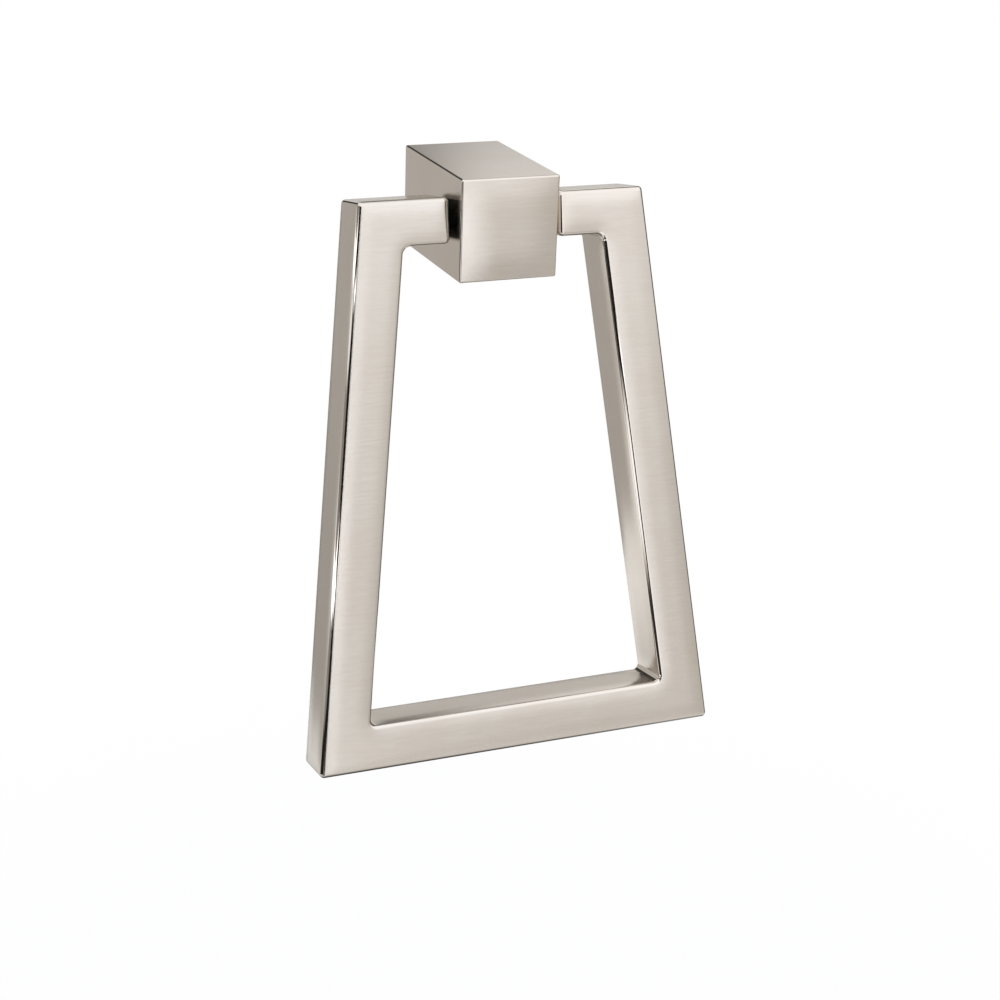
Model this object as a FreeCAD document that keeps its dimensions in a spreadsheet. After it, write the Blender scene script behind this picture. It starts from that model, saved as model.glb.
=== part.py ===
import FreeCAD, Part
import os
import Sketcher
from FreeCAD import Placement, Rotation, Vector

# Ring pull handle: a square post that is screwed to a drawer front from behind, and a
# one-piece trapezoid ring whose top bar is parted to let the post in. Each bar end holds a
# short pin, and the pins turn in one cross bore of the post.
#
# Frame: the origin is the centre of the post's back face, on the drawer front. +X is to the
# right, +Y points back into the drawer front and +Z is up. Lengths are in millimetres and
# angles in degrees.

# Driving sizes: name, value, meaning
SIZES = (
    ("post_width", 19.0, "post, side to side"),
    ("post_height", 19.0, "post, bottom to top"),
    ("post_depth", 30.5, "post, drawer face to its own front face"),
    ("post_edge_radius", 0.4, "broken edges of the post"),
    ("ring_height", 105.5, "ring, outside, along its own plane"),
    ("ring_top_width", 55.5, "ring, outside, at the top edge"),
    ("ring_bottom_width", 80.3, "ring, outside, at the bottom edge"),
    ("ring_thickness", 10.5, "ring, front face to back face"),
    ("leg_width", 9.2, "slanted legs, square across"),
    ("top_bar_height", 8.4, "parted top bar"),
    ("bottom_bar_height", 8.8, "bottom bar, where the fingers pull"),
    ("top_corner_radius", 1.6, "opening's two upper corners"),
    ("bottom_corner_radius", 1.1, "opening's two lower corners"),
    ("ring_edge_radius", 0.85, "polished long edges and outer corners of the ring"),
    ("bar_end_radius", 1.1, "edges round each bar end, beside the post"),
    ("end_gap", 1.0, "clearance from each bar end to the post's side"),
    ("front_recess", 2.5, "ring's front face behind the post's, when it hangs plumb"),
    ("pivot_rise", 0.7, "pivot axis above the post's middle"),
    ("pin_diameter", 4.0, "pivot pin"),
    ("pin_length", 8.0, "pivot pin, end to end"),
    ("pin_grip", 4.5, "length of pin pressed into the ring"),
    ("pin_chamfer", 0.4, "both ends of a pin"),
    ("pin_hole_spare", 0.5, "drilled depth behind a pin's buried end"),
    ("pin_clearance", 0.05, "radial running clearance of a pin in the post"),
    ("drill_angle", 118.0, "point angle of the drilled blind holes"),
    ("screw_hole_diameter", 3.3, "tapping size for an M4 mounting screw"),
    ("screw_hole_depth", 11.5, "full-diameter depth of the mounting hole"),
    ("rest_swing", 10.0, "ring swung forward of plumb at rest"),
)
SIZE = {name: value for name, value, meaning in SIZES}

# Places that follow from the driving sizes, as formulas on the sheet
BAR_END = "(Sizes.post_width / 2 + Sizes.end_gap)"
PIVOT_DEPTH = "(Sizes.post_depth - Sizes.front_recess - Sizes.ring_thickness / 2)"
PIN_BORE = "(Sizes.pin_diameter + 2 * Sizes.pin_clearance)"
CLOSE = 1e-4  # two lengths this close are the same
SMOOTH_TURN = 0.2  # radians: two faces that turn by less than this run on smoothly

document = FreeCAD.newDocument("ring_pull_handle")
sheet = document.addObject("Spreadsheet::Sheet", "Sizes")
for row, (name, value, meaning) in enumerate(SIZES, start=1):
    sheet.set("A%d" % row, name)
    sheet.set("B%d" % row, str(value))
    sheet.set("C%d" % row, meaning)
    sheet.setAlias("B%d" % row, name)
document.recompute()


# Helpers for bodies, sketches and features
def new_body(name):
    body = document.addObject("PartDesign::Body", name)
    body.Label = name
    return body


def new_sketch(body, name, plane):
    """A sketch on one of the body's own origin planes."""
    sketch = body.newObject("Sketcher::SketchObject", name)
    support = next(f for f in body.Origin.OriginFeatures if f.Role == plane)
    sketch.AttachmentSupport = [(support, "")]
    sketch.MapMode = "FlatFace"
    return sketch


def dimension(sketch, name, formula, kind, *where):
    """A named dimension whose value is a formula on the sheet."""
    index = sketch.addConstraint(Sketcher.Constraint(kind, *where))
    sketch.renameConstraint(index, name)
    sketch.setExpression("Constraints." + name, formula)


def closed_outline(sketch, points):
    """Joins the points with lines, end to end, and returns the lines' indices."""
    corners = [Vector(x, y, 0) for x, y in points]
    lines = []
    for corner, following in zip(corners, corners[1:] + corners[:1]):
        lines.append(sketch.addGeometry(Part.LineSegment(corner, following), False))
    for line, following in zip(lines, lines[1:] + lines[:1]):
        sketch.addConstraint(Sketcher.Constraint("Coincident", line, 2, following, 1))
    return lines


def symmetric_sides(sketch, top, bottom):
    """Sets the ends of a top and a bottom line evenly about the vertical axis."""
    for line in (top, bottom):
        sketch.addConstraint(Sketcher.Constraint("Symmetric", line, 1, line, 2, -2))


def circle(sketch, diameter, across=0.0, up=0.0):
    """A circle whose diameter is a formula, first drawn near its place."""
    edge = Part.Circle(Vector(across, up, 0), Vector(0, 0, 1), SIZE["pin_diameter"] / 2)
    index = sketch.addGeometry(edge, False)
    dimension(sketch, "diameter", diameter, "Diameter", index, SIZE["pin_diameter"])
    return index


def feature(body, kind, name, profile=None, formulas=None, **settings):
    """Adds a feature, binds its sizes to the sheet and recomputes the document."""
    made = body.newObject("PartDesign::" + kind, name)
    if profile is not None:
        made.Profile = profile
    for setting, value in settings.items():
        setattr(made, setting, value)
    for setting, formula in (formulas or {}).items():
        made.setExpression(setting, formula)
    document.recompute()
    return made


def cut(body, kind, name, profile, **rest):
    """A cutting feature, which has to take material away."""
    before = body.Shape.Volume
    made = feature(body, kind, name, profile, **rest)
    if body.Shape.Volume > before - CLOSE:
        raise RuntimeError(name + " cuts nothing")
    return made


def round_edges(body, name, radius, chosen):
    """Rounds those edges of the body's shape for which chosen(edge) is true."""
    edges = body.Shape.Edges
    names = ["Edge%d" % n for n, edge in enumerate(edges, start=1) if chosen(edge)]
    base = (body.Tip, names)
    return feature(body, "Fillet", name, formulas={"Radius": radius}, Base=base)


def drilled(body, name, sketch, diameter, depth):
    """A blind hole with a drill point, along the normal of the sketch."""
    formulas = {"Diameter": diameter, "Depth": depth, "DrillPointAngle": "Sizes.drill_angle"}
    return cut(body, "Hole", name, sketch, formulas=formulas, ThreadType="None",
               DepthType="Dimension", DrillPoint="Angled", DrillForDepth=False, Reversed=True)


# Post: a square bar, cross drilled for the pins and tapped from behind for its screw
def make_post():
    body = new_body("post")
    half_width, half_height = SIZE["post_width"] / 2, SIZE["post_height"] / 2
    section = new_sketch(body, "post_section", "XZ_Plane")
    sides = closed_outline(section, (
        (-half_width, -half_height), (half_width, -half_height),
        (half_width, half_height), (-half_width, half_height)))
    bottom, right, top = sides[:3]
    symmetric_sides(section, top, bottom)
    section.addConstraint(Sketcher.Constraint("Symmetric", bottom, 1, top, 1, -1, 1))
    dimension(section, "width", "Sizes.post_width", "Distance", bottom, SIZE["post_width"])
    dimension(section, "height", "Sizes.post_height", "Distance", right, SIZE["post_height"])
    feature(body, "Pad", "post_block", section, {"Length": "Sizes.post_depth"})
    round_edges(body, "post_edges", "Sizes.post_edge_radius", lambda edge: True)

    bore = new_sketch(body, "pin_bore_circle", "YZ_Plane")
    middle = circle(bore, PIN_BORE, -SIZE["post_depth"] / 2, SIZE["pivot_rise"])
    dimension(bore, "depth", PIVOT_DEPTH, "DistanceX", middle, 3, -1, 1, SIZE["post_depth"] / 2)
    dimension(bore, "rise", "Sizes.pivot_rise", "DistanceY", -1, 1, middle, 3, SIZE["pivot_rise"])
    cut(body, "Pocket", "pin_bore", bore, Type="ThroughAll", SideType="Symmetric")

    mouth = new_sketch(body, "screw_hole_circle", "XZ_Plane")
    middle = circle(mouth, "Sizes.screw_hole_diameter")
    mouth.addConstraint(Sketcher.Constraint("Coincident", middle, 3, -1, 1))
    drilled(body, "screw_hole", mouth, "Sizes.screw_hole_diameter", "Sizes.screw_hole_depth")
    return body


# Ring: drawn plumb about the pivot axis, then swung and set in place
def make_ring():
    body = new_body("ring")
    top = SIZE["top_bar_height"] / 2
    bottom = top - SIZE["ring_height"]
    half_top, half_bottom = SIZE["ring_top_width"] / 2, SIZE["ring_bottom_width"] / 2
    inner_top, inner_bottom = top - SIZE["top_bar_height"], bottom + SIZE["bottom_bar_height"]
    leg = SIZE["leg_width"]

    frame = new_sketch(body, "ring_outline", "XZ_Plane")
    outer = closed_outline(frame, (
        (-half_top, top), (half_top, top), (half_bottom, bottom), (-half_bottom, bottom)))
    inner = closed_outline(frame, (
        (leg - half_top, inner_top), (half_top - leg, inner_top),
        (half_bottom - leg, inner_bottom), (leg - half_bottom, inner_bottom)))
    symmetric_sides(frame, outer[0], outer[2])
    symmetric_sides(frame, inner[0], inner[2])
    frame.addConstraint(Sketcher.Constraint("Parallel", outer[3], inner[3]))
    dimension(frame, "above_pivot", "Sizes.top_bar_height / 2", "DistanceY",
              -1, 1, outer[0], 1, top)
    dimension(frame, "height", "Sizes.ring_height", "DistanceY",
              outer[3], 1, outer[3], 2, SIZE["ring_height"])
    dimension(frame, "top_width", "Sizes.ring_top_width", "Distance", outer[0], 2 * half_top)
    dimension(frame, "bottom_width", "Sizes.ring_bottom_width", "Distance",
              outer[2], 2 * half_bottom)
    dimension(frame, "top_bar", "Sizes.top_bar_height", "DistanceY",
              inner[0], 1, outer[0], 1, SIZE["top_bar_height"])
    dimension(frame, "bottom_bar", "Sizes.bottom_bar_height", "DistanceY",
              outer[3], 1, inner[3], 1, SIZE["bottom_bar_height"])
    dimension(frame, "leg", "Sizes.leg_width", "Distance", inner[0], 1, outer[3], leg)
    feature(body, "Pad", "ring_frame", frame, {"Length": "Sizes.ring_thickness"},
            SideType="Symmetric")

    def corner_at(height):
        """Picks the two square-on corner edges of the opening at this height."""
        def chosen(edge):
            middle, box = edge.CenterOfMass, edge.BoundBox
            return box.XLength < CLOSE and box.ZLength < CLOSE and abs(middle.z - height) < CLOSE
        return chosen

    round_edges(body, "upper_corners", "Sizes.top_corner_radius", corner_at(inner_top))
    round_edges(body, "lower_corners", "Sizes.bottom_corner_radius", corner_at(inner_bottom))

    # The parting in the top bar, for the post and a gap on each side of it
    bar_end, half_gap = SIZE["post_width"] / 2 + SIZE["end_gap"], SIZE["top_bar_height"]
    gap = new_sketch(body, "post_gap_outline", "XZ_Plane")
    sides = closed_outline(gap, (
        (-bar_end, half_gap), (bar_end, half_gap), (bar_end, -half_gap), (-bar_end, -half_gap)))
    symmetric_sides(gap, sides[0], sides[2])
    gap.addConstraint(Sketcher.Constraint("Symmetric", sides[0], 1, sides[2], 1, -1, 1))
    dimension(gap, "width", "2 * " + BAR_END, "Distance", sides[0], 2 * bar_end)
    dimension(gap, "height", "2 * Sizes.top_bar_height", "Distance", sides[1], 2 * half_gap)
    cut(body, "Pocket", "post_gap", gap, Type="ThroughAll", SideType="Symmetric")

    def at_bar_end(edge):
        box = edge.BoundBox
        return box.XLength < CLOSE and abs(abs(box.XMin) - bar_end) < CLOSE

    def sharp(edge):
        """True where the two faces beside an edge don't run on smoothly."""
        faces = body.Shape.ancestorsOfType(edge, Part.Face)
        middle = edge.valueAt((edge.FirstParameter + edge.LastParameter) / 2)
        normals = [face.normalAt(*face.Surface.parameter(middle)) for face in faces]
        return len(normals) == 2 and normals[0].getAngle(normals[1]) > SMOOTH_TURN

    round_edges(body, "bar_end_edges", "Sizes.bar_end_radius", at_bar_end)
    round_edges(body, "long_edges", "Sizes.ring_edge_radius", sharp)

    # A blind hole for a pin in each bar end
    seat = new_sketch(body, "pin_seat_circle", "YZ_Plane")
    seat.setExpression("AttachmentOffset.Base.z", BAR_END)
    middle = circle(seat, "Sizes.pin_diameter")
    seat.addConstraint(Sketcher.Constraint("Coincident", middle, 3, -1, 1))
    hole = drilled(body, "right_pin_seat", seat, "Sizes.pin_diameter",
                   "Sizes.pin_grip + Sizes.pin_hole_spare")
    before = body.Shape.Volume
    mirror = next(f for f in body.Origin.OriginFeatures if f.Role == "YZ_Plane")
    seats = body.newObject("PartDesign::Mirrored", "left_pin_seat")
    seats.Originals = [hole]
    seats.MirrorPlane = (mirror, [""])
    body.Tip = seats
    document.recompute()
    if body.Shape.Volume > before - CLOSE:
        raise RuntimeError("left_pin_seat cuts nothing")

    body.Placement = Placement(Vector(), Rotation(Vector(-1, 0, 0), SIZE["rest_swing"]))
    body.setExpression("Placement.Rotation.Angle", "Sizes.rest_swing")
    body.setExpression("Placement.Base.y", "-" + PIVOT_DEPTH)
    body.setExpression("Placement.Base.z", "Sizes.pivot_rise")
    return body


# Pivot pin: a plain chamfered dowel that lies along X from its own left end
def make_pin(name, left_end):
    body = new_body(name)
    length, radius = SIZE["pin_length"], SIZE["pin_diameter"] / 2
    chamfer = SIZE["pin_chamfer"]
    half = new_sketch(body, name + "_half_section", "XZ_Plane")
    axis, left, left_bevel, side, right_bevel, right = closed_outline(half, (
        (length, 0), (0, 0), (0, radius - chamfer), (chamfer, radius),
        (length - chamfer, radius), (length, radius - chamfer)))
    half.addConstraint(Sketcher.Constraint("Coincident", axis, 2, -1, 1))
    for kind, line in (("Horizontal", axis), ("Vertical", left), ("Horizontal", side),
                       ("Vertical", right)):
        half.addConstraint(Sketcher.Constraint(kind, line))
    half.addConstraint(Sketcher.Constraint("Equal", left, right))
    dimension(half, "length", "Sizes.pin_length", "Distance", axis, length)
    dimension(half, "radius", "Sizes.pin_diameter / 2", "DistanceY", -1, 1, side, 1, radius)
    dimension(half, "bevel_along", "Sizes.pin_chamfer", "DistanceX",
              left_bevel, 1, left_bevel, 2, chamfer)
    dimension(half, "bevel_across", "Sizes.pin_chamfer", "DistanceY",
              left_bevel, 1, left_bevel, 2, chamfer)
    dimension(half, "far_bevel_along", "Sizes.pin_chamfer", "DistanceX",
              right_bevel, 1, right_bevel, 2, chamfer)
    feature(body, "Revolution", name + "_dowel", half, {}, Angle=360,
            ReferenceAxis=(half, ["H_Axis"]))
    body.setExpression("Placement.Base.x", left_end)
    body.setExpression("Placement.Base.y", "-" + PIVOT_DEPTH)
    body.setExpression("Placement.Base.z", "Sizes.pivot_rise")
    return body


buried_end = BAR_END + " + Sizes.pin_grip"
subparts = [
    make_post(),
    make_ring(),
    make_pin("pivot_pin_left", "-(" + buried_end + ")"),
    make_pin("pivot_pin_right", buried_end + " - Sizes.pin_length"),
]
document.recompute()

# Nothing is written unless every object is sound
for made in document.Objects:
    if "Invalid" in made.State or "Error" in made.State:
        raise RuntimeError("%s is %s" % (made.Name, made.State))
    if made.TypeId == "Sketcher::SketchObject" and not made.FullyConstrained:
        raise RuntimeError(made.Name + " isn't fully constrained")
for body in subparts:
    if body.Shape.isNull() or not body.Shape.isValid() or len(body.Shape.Solids) != 1:
        raise RuntimeError(body.Label + " is not one sound solid")

os.makedirs("parts", exist_ok=True)
for body in subparts:
    body.Shape.exportStep("parts/%s.step" % body.Label)
    box = body.Shape.BoundBox
    print("%-16s volume %9.2f  X %7.2f %7.2f  Y %7.2f %7.2f  Z %8.2f %7.2f" % (
        body.Label, body.Shape.Volume, box.XMin, box.XMax, box.YMin, box.YMax,
        box.ZMin, box.ZMax))
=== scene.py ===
from math import cos, radians, sin

import bpy
from mathutils import Matrix, Vector


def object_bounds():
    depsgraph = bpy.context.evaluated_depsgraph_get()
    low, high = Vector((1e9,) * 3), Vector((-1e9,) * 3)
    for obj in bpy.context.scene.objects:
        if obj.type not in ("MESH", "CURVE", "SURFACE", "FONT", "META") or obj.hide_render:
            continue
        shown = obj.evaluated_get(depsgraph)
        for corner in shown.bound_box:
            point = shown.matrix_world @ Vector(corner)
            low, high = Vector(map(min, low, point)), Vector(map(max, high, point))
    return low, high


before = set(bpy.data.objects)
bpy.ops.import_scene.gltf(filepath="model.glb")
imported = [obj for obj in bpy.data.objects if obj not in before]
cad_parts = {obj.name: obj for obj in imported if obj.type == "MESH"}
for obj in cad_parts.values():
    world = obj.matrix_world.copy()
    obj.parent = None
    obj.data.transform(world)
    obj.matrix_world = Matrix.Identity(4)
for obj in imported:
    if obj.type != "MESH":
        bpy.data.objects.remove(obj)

CAD_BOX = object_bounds()
MM = 0.001

# The middle of the object, which the studio stands round
LOW, HIGH = (Vector(corner) for corner in CAD_BOX)
MIDDLE = (LOW + HIGH) / 2


# Node graphs
class Graph:
    """A node tree with short calls for adding nodes and joining them."""

    def __init__(self, tree):
        self.tree = tree
        tree.nodes.clear()

    def add(self, kind, inputs=None, **settings):
        """Adds a node; an input is either a value or another node's output."""
        node = self.tree.nodes.new(kind)
        for setting, value in settings.items():
            setattr(node, setting, value)
        for socket, value in (inputs or {}).items():
            if isinstance(value, bpy.types.NodeSocket):
                self.tree.links.new(value, node.inputs[socket])
            else:
                node.inputs[socket].default_value = value
        return node

    def math(self, operation, *values):
        return self.add("ShaderNodeMath", dict(enumerate(values)), operation=operation).outputs[0]

    def product(self, first, *others):
        for other in others:
            first = self.math("MULTIPLY", first, other)
        return first

    def vector(self, operation, *values):
        return self.add("ShaderNodeVectorMath", dict(enumerate(values)),
                        operation=operation).outputs[0]

    def scaled(self, vector, factor):
        return self.add("ShaderNodeVectorMath", {0: vector, "Scale": factor},
                        operation="SCALE").outputs[0]

    def dot(self, one, other):
        return self.add("ShaderNodeVectorMath", {0: one, 1: other},
                        operation="DOT_PRODUCT").outputs["Value"]

    def length(self, vector):
        return self.add("ShaderNodeVectorMath", {0: vector},
                        operation="LENGTH").outputs["Value"]

    def spread(self, value, low, high, to_low=0.0, to_high=1.0, smooth=False):
        """Takes low..high to to_low..to_high, and holds it there beyond."""
        node = self.add("ShaderNodeMapRange", {
            "Value": value, "From Min": low, "From Max": high,
            "To Min": to_low, "To Max": to_high})
        if smooth:
            node.interpolation_type = "SMOOTHSTEP"
        return node.outputs["Result"]

    def noise(self, place, scale, detail):
        return self.add("ShaderNodeTexNoise", {
            "Vector": place, "Scale": scale, "Detail": detail}).outputs["Fac"]

    def mixed(self, factor, one, other):
        """A colour between one and other."""
        return self.add("ShaderNodeMix", {0: factor, 6: one, 7: other},
                        data_type="RGBA").outputs[2]


def new_material(name):
    material = bpy.data.materials.new(name)
    material.use_nodes = True
    return material, Graph(material.node_tree)


def finish_material(graph, shader):
    graph.add("ShaderNodeOutputMaterial", {"Surface": shader})


# Satin nickel: finely brushed along X and pillowed a little towards its edges by polishing, with
# the rounded edges themselves buffed bright. Its colour holds painted light and shade face by
# face, and a painted near-black shade on the ring's bar ends beside the post
NICKEL = (0.66, 0.61, 0.55, 1)
NICKEL_WARM = (0.64, 0.58, 0.515, 1)
# Near-black painted shade, for the gap between the post and the ring's bar ends and the pins in it
GAP_SHADE_BLACK = (0.012, 0.012, 0.012, 1)
IOR = 1.1
FLAT_ROUGHNESS, EDGE_ROUGHNESS = 0.2, 0.04
ROUGHNESS_SPREAD = 0.04
NOISE_SPAN = 0.3, 0.7
CLOUD_SCALE, CLOUD_DETAIL = 90, 2
# Stretch along X, scale, detail and share of the long and of the short brush streaks
STREAKS = ((0.05, 3200, 3, 0.6), (0.12, 2600, 2, 0.4))
STREAK_SHADES = 0.965, 1.02
BRUSH_STRENGTH, BRUSH_DEPTH = 0.06, 0.004 * MM
LEAN_LIMIT = 0.16
BEVEL_SAMPLES = 8

# Of a face's squareness to its flat, 1 on the flat itself: where the edges' polish fades out,
# where the pillowing fades in, and what counts as a front, a flank, a top or a bar end
POLISH_SPAN, PILLOW_SPAN = (0.95, 0.99), (0.985, 0.9995)
FACE_SPAN, END_SPAN = (0.5, 0.9), (0.8, 0.95)

# How far the object reaches from its middle plane, and the gap between the post and the bar ends
REACH = 30 * MM
POST_SIDE, BAR_END = 9.5 * MM, 10.5 * MM
END_DEPTH, END_FADE = 0.25 * MM, 0.1 * MM

# The ring's lean forward at rest, and how its legs lean out from upright
REST_SWING, LEG_LEAN = radians(10), radians(6.7)


def on_ring(sideways, forward, upward):
    """A direction on the ring as it hangs plumb, swung forward with it."""
    return (sideways, upward * sin(REST_SWING) - forward * cos(REST_SWING),
            upward * cos(REST_SWING) + forward * sin(REST_SWING))


POST_FLATS = (1, 0, 0), (0, 1, 0), (0, 0, 1)
RING_FLATS = (on_ring(0, 1, 0), on_ring(0, 0, 1),
              on_ring(-cos(LEG_LEAN), 0, sin(LEG_LEAN)), on_ring(cos(LEG_LEAN), 0, sin(LEG_LEAN)))


def squareness(graph, normal, flats):
    """How squarely a spot faces the way of one of the flats, at best."""
    facing = 0.0
    for flat in flats:
        facing = graph.math("MAXIMUM", facing,
                            graph.math("ABSOLUTE", graph.dot(normal, flat)))
    return facing


def brush_streaks(graph, place):
    streaks = 0.0
    for stretch, scale, detail, share in STREAKS:
        drawn_out = graph.vector("MULTIPLY", place, (stretch, 1, 1))
        part = graph.math("MULTIPLY", graph.noise(drawn_out, scale, detail), share)
        streaks = graph.math("ADD", streaks, part)
    return streaks


def painted_face_shading(graph, place, faces, painted_shades):
    """A factor for the colour, which goes from one level to the other along each front, each flank
    and each top: painted light and shade, lightening or darkening whole faces as light would."""
    sideways, backward = graph.dot(place, (1, 0, 0)), graph.dot(place, (0, 1, 0))
    ways = (sideways, REACH), (sideways, REACH), (backward, 0)
    factor = 1.0
    for face, (where, end), (first, last) in zip(faces, ways, painted_shades):
        change = graph.spread(where, -REACH, end, first - 1, last - 1)
        factor = graph.math("ADD", factor, graph.math("MULTIPLY", face, change))
    return factor


def pillowed_normal(graph, radius, share, *kept):
    """The normal, which leans outwards towards the edges as polishing leaves it."""
    normal = graph.add("ShaderNodeNewGeometry").outputs["Normal"]
    softened = graph.add("ShaderNodeBevel", {"Radius": radius}, samples=BEVEL_SAMPLES).outputs[0]
    lean = graph.vector("SUBTRACT", softened, normal)
    amount = graph.math("MULTIPLY", graph.length(lean), share)
    amount = graph.math("SMOOTH_MIN", amount, LEAN_LIMIT, LEAN_LIMIT / 2)
    amount = graph.product(amount, *kept)
    leaning = graph.scaled(graph.vector("NORMALIZE", lean), amount)
    return graph.vector("NORMALIZE", graph.vector("ADD", normal, leaning))


def bar_end_gap_shade(graph, place, normal):
    """1 on the ring's two flat end faces beside the post, which are painted near-black: painted
    shade for the dark gap between the bar ends and the post.
    """
    across = graph.math("ABSOLUTE", graph.dot(place, (1, 0, 0)))
    near = graph.spread(across, BAR_END + END_DEPTH, BAR_END + END_DEPTH + END_FADE, 1, 0)
    facing = graph.math("ABSOLUTE", graph.dot(normal, (1, 0, 0)))
    return graph.math("MULTIPLY", near, graph.spread(facing, *END_SPAN))


def satin_nickel(name, flats, painted_shades, pillow_radius, pillow_shares, flank_pillow, ends=None):
    """The pairs after the flats are colour factors for the fronts, the flanks and the tops, which
    paint light and shade on them. pillow_shares are the pillowing at the left and at the right,
    and flank_pillow is the share of it away from the fronts."""
    material, graph = new_material(name)
    coordinates = graph.add("ShaderNodeTexCoord").outputs
    place, normal = coordinates["Object"], coordinates["Normal"]
    facing = graph.add("ShaderNodeSeparateXYZ", {0: normal}).outputs
    flank, front = (graph.spread(graph.math("ABSOLUTE", facing[axis]), *FACE_SPAN)
                    for axis in (0, 1))
    top = graph.spread(facing[2], *FACE_SPAN)
    square = squareness(graph, normal, flats)
    polished = graph.spread(square, *POLISH_SPAN, 1, 0)

    leaning = pillowed_normal(
        graph, pillow_radius, graph.spread(graph.dot(place, (1, 0, 0)), -REACH, REACH,
                                           *pillow_shares),
        graph.spread(square, *PILLOW_SPAN), graph.spread(front, 0, 1, flank_pillow, 1))

    streaks = brush_streaks(graph, place)
    clouds = graph.spread(graph.noise(place, CLOUD_SCALE, CLOUD_DETAIL), *NOISE_SPAN)
    # Painted light and shade by face, times the brush streaks' tones
    shade = graph.math("MULTIPLY", painted_face_shading(graph, place, (front, flank, top), painted_shades),
                       graph.spread(streaks, *NOISE_SPAN, *STREAK_SHADES))
    colour = graph.scaled(graph.mixed(clouds, NICKEL, NICKEL_WARM), shade)
    rough = graph.spread(polished, 0, 1, FLAT_ROUGHNESS, EDGE_ROUGHNESS)
    rough = graph.math("ADD", rough, graph.spread(streaks, *NOISE_SPAN, -ROUGHNESS_SPREAD / 2,
                                                  ROUGHNESS_SPREAD / 2))
    metal = 1.0
    # Painted shade: the bar ends turn near-black, rough and not metal, for the dark gap beside the
    # post
    if ends:
        gap_shade = ends(graph, place, normal)
        colour = graph.mixed(gap_shade, colour, GAP_SHADE_BLACK)
        rough = graph.math("MAXIMUM", rough, gap_shade)
        metal = graph.math("SUBTRACT", 1.0, gap_shade)
    brushing = graph.math("MULTIPLY", streaks, graph.math("SUBTRACT", 1.0, polished))
    bump = graph.add("ShaderNodeBump", {
        "Strength": BRUSH_STRENGTH, "Distance": BRUSH_DEPTH, "Height": brushing,
        "Normal": leaning})
    shader = graph.add("ShaderNodeBsdfPrincipled", {
        "Base Color": colour, "Metallic": metal, "Roughness": rough, "IOR": IOR,
        "Normal": bump.outputs[0]})
    finish_material(graph, shader.outputs[0])
    return material


# Ground steel of the pins, painted near-black where they show in the gap between post and ring:
# painted shade
STEEL = (0.45, 0.45, 0.46, 1)
STEEL_ROUGHNESS = 0.22, 0.34
GRINDING_STRETCH, GRINDING_SCALE, GRINDING_DETAIL = 0.05, 5000, 2
GRINDING_STRENGTH, GRINDING_DEPTH = 0.3, 0.004 * MM
PIN_FADE = 0.2 * MM


def ground_steel(name):
    material, graph = new_material(name)
    place = graph.add("ShaderNodeTexCoord").outputs["Object"]
    drawn_round = graph.vector("MULTIPLY", place, (1, GRINDING_STRETCH, GRINDING_STRETCH))
    rings = graph.noise(drawn_round, GRINDING_SCALE, GRINDING_DETAIL)
    # Painted shade: near-black, rough and not metal where the pins show in the gap
    across = graph.math("ABSOLUTE", graph.dot(place, (1, 0, 0)))
    pin_gap_shade = graph.math("MULTIPLY", graph.spread(across, POST_SIDE - PIN_FADE, POST_SIDE),
                           graph.spread(across, BAR_END + PIN_FADE / 2,
                                        BAR_END + PIN_FADE * 3 / 2, 1, 0))
    rough = graph.math("MAXIMUM", graph.spread(rings, *NOISE_SPAN, *STEEL_ROUGHNESS), pin_gap_shade)
    bump = graph.add("ShaderNodeBump", {
        "Strength": GRINDING_STRENGTH, "Distance": GRINDING_DEPTH, "Height": rings})
    shader = graph.add("ShaderNodeBsdfPrincipled", {
        "Base Color": graph.mixed(pin_gap_shade, STEEL, GAP_SHADE_BLACK),
        "Metallic": graph.math("SUBTRACT", 1.0, pin_gap_shade),
        "Roughness": rough, "IOR": IOR, "Normal": bump.outputs[0]})
    finish_material(graph, shader.outputs[0])
    return material


def dress(node, material):
    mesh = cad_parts[node].data
    mesh.materials.clear()
    mesh.materials.append(material)


# The first pairs are painted light and shade: the post's flanks lighter and its top darkening
# towards the back, the ring's fronts and flanks lightening to the right
dress("post", satin_nickel("satin_nickel_post", POST_FLATS, ((1, 1), (1.1, 1.1), (1.06, 0.86)),
                           pillow_radius=11 * MM, pillow_shares=(0.36, 0.36), flank_pillow=0))
dress("ring", satin_nickel("satin_nickel_ring", RING_FLATS, ((0.96, 1.01), (0.96, 1.15), (1, 1)),
                           pillow_radius=5 * MM, pillow_shares=(0.4, 0.75), flank_pillow=1,
                           ends=bar_end_gap_shade))
steel = ground_steel("ground_steel")
for pin in ("pivot_pin_left", "pivot_pin_right"):
    dress(pin, steel)


# Studio: a light tent, invisible to the camera, whose walls the metal reflects. They brighten
# from the ground to the ceiling.
TENT_RADIUS = 1.2
CEILING, GROUND = 1.25, 0.12
LEVEL_REACH = 0.6

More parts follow.
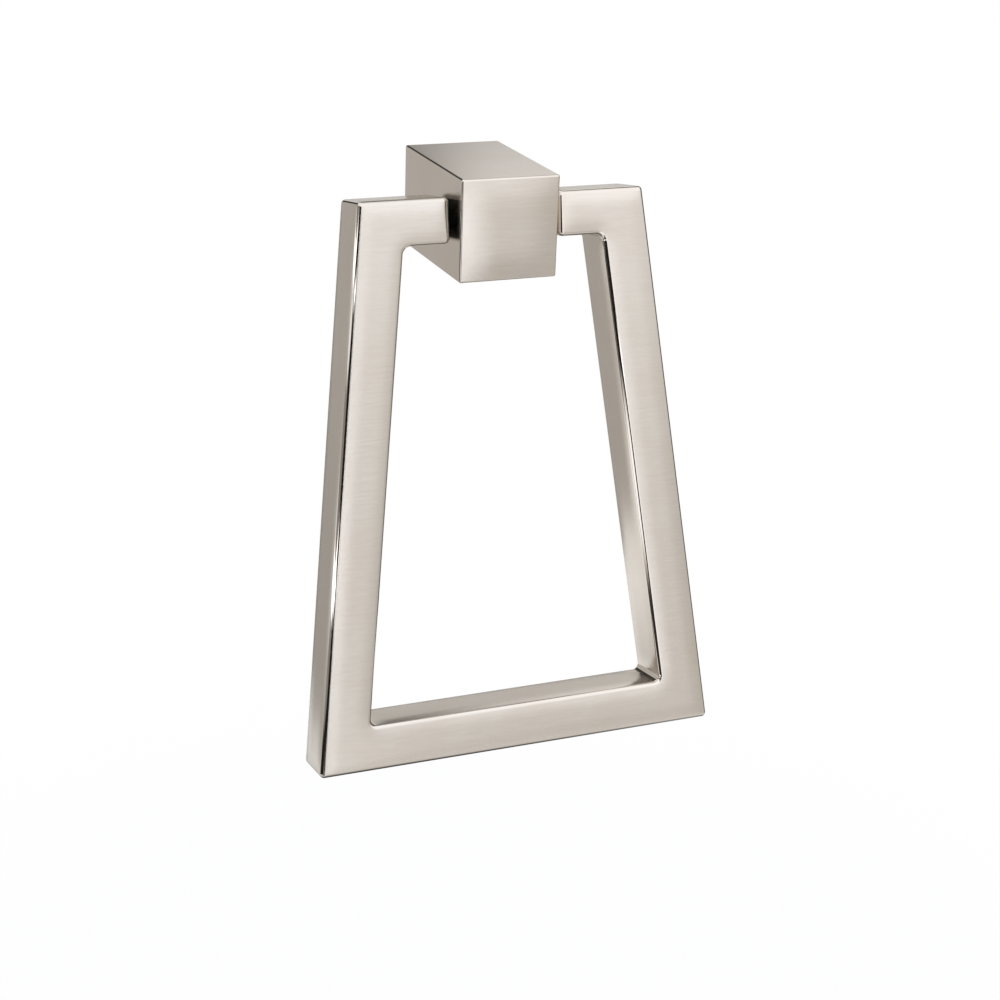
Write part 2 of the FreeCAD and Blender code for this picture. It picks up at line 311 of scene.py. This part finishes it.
# Parts of the tent's walls as the object sees them, each painted over those before it: name,
# azimuth (0 in front, positive to the right), elevation, half width, half height, softness of
# its edges, all in degrees, brightness, where 1 is white, and lean: how many degrees its
# middle line climbs for each degree to the right
PANELS = (
    # In front and above, mirrored by the fronts
    ("front_wall", 20, -3, 62, 42, 24, 0.93, 0),
    ("low_wall", 20, -32, 60, 14, 20, 0.68, 0),
    ("right_wall", 68, 0, 37, 46, 12, 0.70, 0),
    ("upper_box", 12, 44, 60, 36, 34, 1.5, 0),
    ("key", -24, 4, 32, 34, 16, 1.55, 0),
    ("post_key", -12, -26, 26, 14, 12, 1.5, 0),
    # To the left, mirrored by the rounded left edges: dark, and crossed by narrow glints
    ("left_gap", -45, -1, 39, 26, 4, 0.02, 0),
    ("left_mid", -104, -4, 42, 30, 14, 0.34, 0),
    ("left_rear", -133, -12, 12, 26, 12, 0.62, 0),
    ("glint_high", -30, 9, 16, 0.4, 0.6, 3, 0),
    ("glint_high_side", -90, 4.8, 34, 0.8, 0.8, 2.6, 0.17),
    ("glint_high_tail", -84, 3.2, 26, 1.6, 1.6, 1.3, 0.17),
    ("glint_low", -28, -2.1, 25, 0.8, 0.8, 4, 0),
    ("glint_low_side", -86, -6.5, 38, 0.9, 1, 3.5, 0.17),
    ("glint_high_rear", -136, -4.5, 16, 2, 4, 1.3, 0.22),
    ("glint_low_rear", -136, -15.5, 16, 2.4, 4, 1.5, 0.22),
    # Lower to the left, mirrored by the right leg's inner edge
    ("dark_high", -66, -10.6, 50, 3.2, 1, 0.02, 0.2),
    ("slant_window", -74, -19.4, 42, 3.1, 3, 1.5, 0.2),
    ("slant_window_rear", -136, -28.5, 18, 2.8, 4, 1.2, 0.22),
    ("dark_low", -66, -24.4, 50, 2.4, 1, 0.04, 0.2),
    # To the right and behind, mirrored by the right edges, the tops and the left flanks
    ("right_gap", 112, -5, 34, 45, 10, 0.12, 0),
    ("top_back_gap", 130, 46, 13, 18, 8, 0.1, 0),
    ("bottom_back_gap", 161, 42, 9, 12, 6, 0.08, 0),
    ("back_wall", 157, -6, 18, 20, 16, 0.70, 0),
    ("left_back_wall", -162, -18, 22, 22, 8, 0.47, 0),
    ("left_back_upper", -162, -3, 22, 12, 8, 0.54, 0),
    ("back_gap", -172, 22, 28, 9, 5, 0.08, 0),
    ("corner_gap", -171, 12, 9, 5.5, 3, 0.04, 0),
)
WARM, COOL = (1.0, 0.965, 0.915, 1), (0.97, 0.995, 1.05, 1)
WARM_LEVEL, COOL_LEVEL = 0.5, 1.4


def panel_share(graph, outward, azimuth, elevation, half_width, half_height, soft, lean):
    """1 inside a panel, 0 outside it, and in between over its soft edge."""
    turn = radians(azimuth)
    ahead = graph.dot(outward, (sin(turn), -cos(turn), 0))
    across = graph.dot(outward, (cos(turn), sin(turn), 0))
    height = graph.math("ARCSINE", graph.dot(outward, (0, 0, 1)))
    aside = graph.math("ARCTAN2", across, ahead)
    climb = graph.math("MULTIPLY", aside, lean)
    raised = graph.math("SUBTRACT", graph.math("SUBTRACT", height, radians(elevation)), climb)
    share = 1.0
    for angle, half in ((aside, half_width), (raised, half_height)):
        edge = graph.spread(graph.math("ABSOLUTE", angle), radians(half - soft / 2),
                            radians(half + soft / 2), 1, 0, smooth=True)
        share = graph.math("MULTIPLY", share, edge)
    return share


def tent():
    bpy.ops.mesh.primitive_uv_sphere_add(segments=48, ring_count=24, radius=TENT_RADIUS,
                                         location=MIDDLE)
    shell = bpy.context.object
    shell.name = "tent"
    shell.visible_camera = False
    material, graph = new_material("tent_cloth")
    place = graph.add("ShaderNodeTexCoord").outputs["Object"]
    outward = graph.vector("NORMALIZE", place)
    level = graph.spread(graph.dot(outward, (0, 0, 1)), -LEVEL_REACH, LEVEL_REACH, GROUND, CEILING)
    for _, azimuth, elevation, half_width, half_height, soft, brightness, lean in PANELS:
        share = panel_share(graph, outward, azimuth, elevation, half_width, half_height, soft,
                            lean)
        kept = graph.math("MULTIPLY", level, graph.math("SUBTRACT", 1.0, share))
        level = graph.math("ADD", kept, graph.math("MULTIPLY", share, brightness))
    cloth = graph.mixed(graph.spread(level, WARM_LEVEL, COOL_LEVEL), WARM, COOL)
    glow = graph.add("ShaderNodeEmission", {"Color": cloth, "Strength": level})
    finish_material(graph, glow.outputs[0])
    material.cycles.emission_sampling = "NONE"
    shell.data.materials.append(material)


tent()


# Floor: pale, fading into the white round it, with a dark mat that only the metal shows
FLOOR_DROP = 100 * MM
FLOOR_RADIUS = 0.25
RIM_START, RIM_END = 0.4 * FLOOR_RADIUS, 0.95 * FLOOR_RADIUS
GLOW_SHARE = 0.93
MAT_CORE, MAT_RADIUS, MAT_LEVEL = 0.05, 0.2, 0.03
WHITE, MATT = (1, 1, 1, 1), (0.9, 0.9, 0.9, 1)


def floor():
    bpy.ops.mesh.primitive_circle_add(vertices=96, radius=FLOOR_RADIUS, fill_type="NGON",
                                      location=(MIDDLE.x, MIDDLE.y, LOW.z - FLOOR_DROP))
    disc = bpy.context.object
    disc.name = "floor"
    material, graph = new_material("pale_floor")
    light = graph.add("ShaderNodeLightPath").outputs
    seen = graph.math("MAXIMUM", light["Is Camera Ray"], light["Is Glossy Ray"])
    seen = graph.math("MAXIMUM", seen, light["Is Transmission Ray"])
    away = graph.length(graph.add("ShaderNodeTexCoord").outputs["Object"])
    rim = graph.spread(away, RIM_START, RIM_END, GLOW_SHARE, 1, smooth=True)
    beyond_mat = graph.spread(away, MAT_CORE, MAT_RADIUS, MAT_LEVEL, 1)
    level = graph.math("MAXIMUM", light["Is Camera Ray"], beyond_mat)
    glow = graph.add("ShaderNodeEmission", {"Color": WHITE, "Strength": level})
    matt = graph.add("ShaderNodeBsdfDiffuse", {"Color": MATT})
    mix = graph.add("ShaderNodeMixShader", {
        0: graph.math("MULTIPLY", seen, rim), 1: matt.outputs[0], 2: glow.outputs[0]})
    finish_material(graph, mix.outputs[0])
    disc.data.materials.append(material)


floor()


def white_world():
    world = bpy.data.worlds.new("white")
    world.use_nodes = True
    graph = Graph(world.node_tree)
    backdrop = graph.add("ShaderNodeBackground", {"Color": WHITE, "Strength": 1.0})
    graph.add("ShaderNodeOutputWorld", {"Surface": backdrop.outputs[0]})
    bpy.context.scene.world = world


white_world()


# Camera, as fitted to the photo's corners
CAMERA_PLACE = Vector((-137.1, -360.4, 90.0)) * MM
CAMERA_TURN = radians(22.565)
CAMERA_DOWN = radians(21.773)
CAMERA_ROLL = radians(2.091)
CAMERA_LENS = 72.76
SENSOR = 36.0


def photo_camera():
    ahead = Vector((sin(CAMERA_TURN) * cos(CAMERA_DOWN), cos(CAMERA_TURN) * cos(CAMERA_DOWN),
                    -sin(CAMERA_DOWN)))
    level = Vector((cos(CAMERA_TURN), -sin(CAMERA_TURN), 0))
    right = level * cos(CAMERA_ROLL) + level.cross(ahead) * sin(CAMERA_ROLL)
    upward = right.cross(ahead)
    data = bpy.data.cameras.new("photo_camera")
    data.lens, data.sensor_width = CAMERA_LENS, SENSOR
    camera = bpy.data.objects.new("photo_camera", data)
    turn = Matrix((right, upward, -ahead)).transposed().to_4x4()
    camera.matrix_world = Matrix.Translation(CAMERA_PLACE) @ turn
    bpy.context.scene.collection.objects.link(camera)
    bpy.context.scene.camera = camera


photo_camera()
bpy.context.scene.view_settings.view_transform = "Standard"
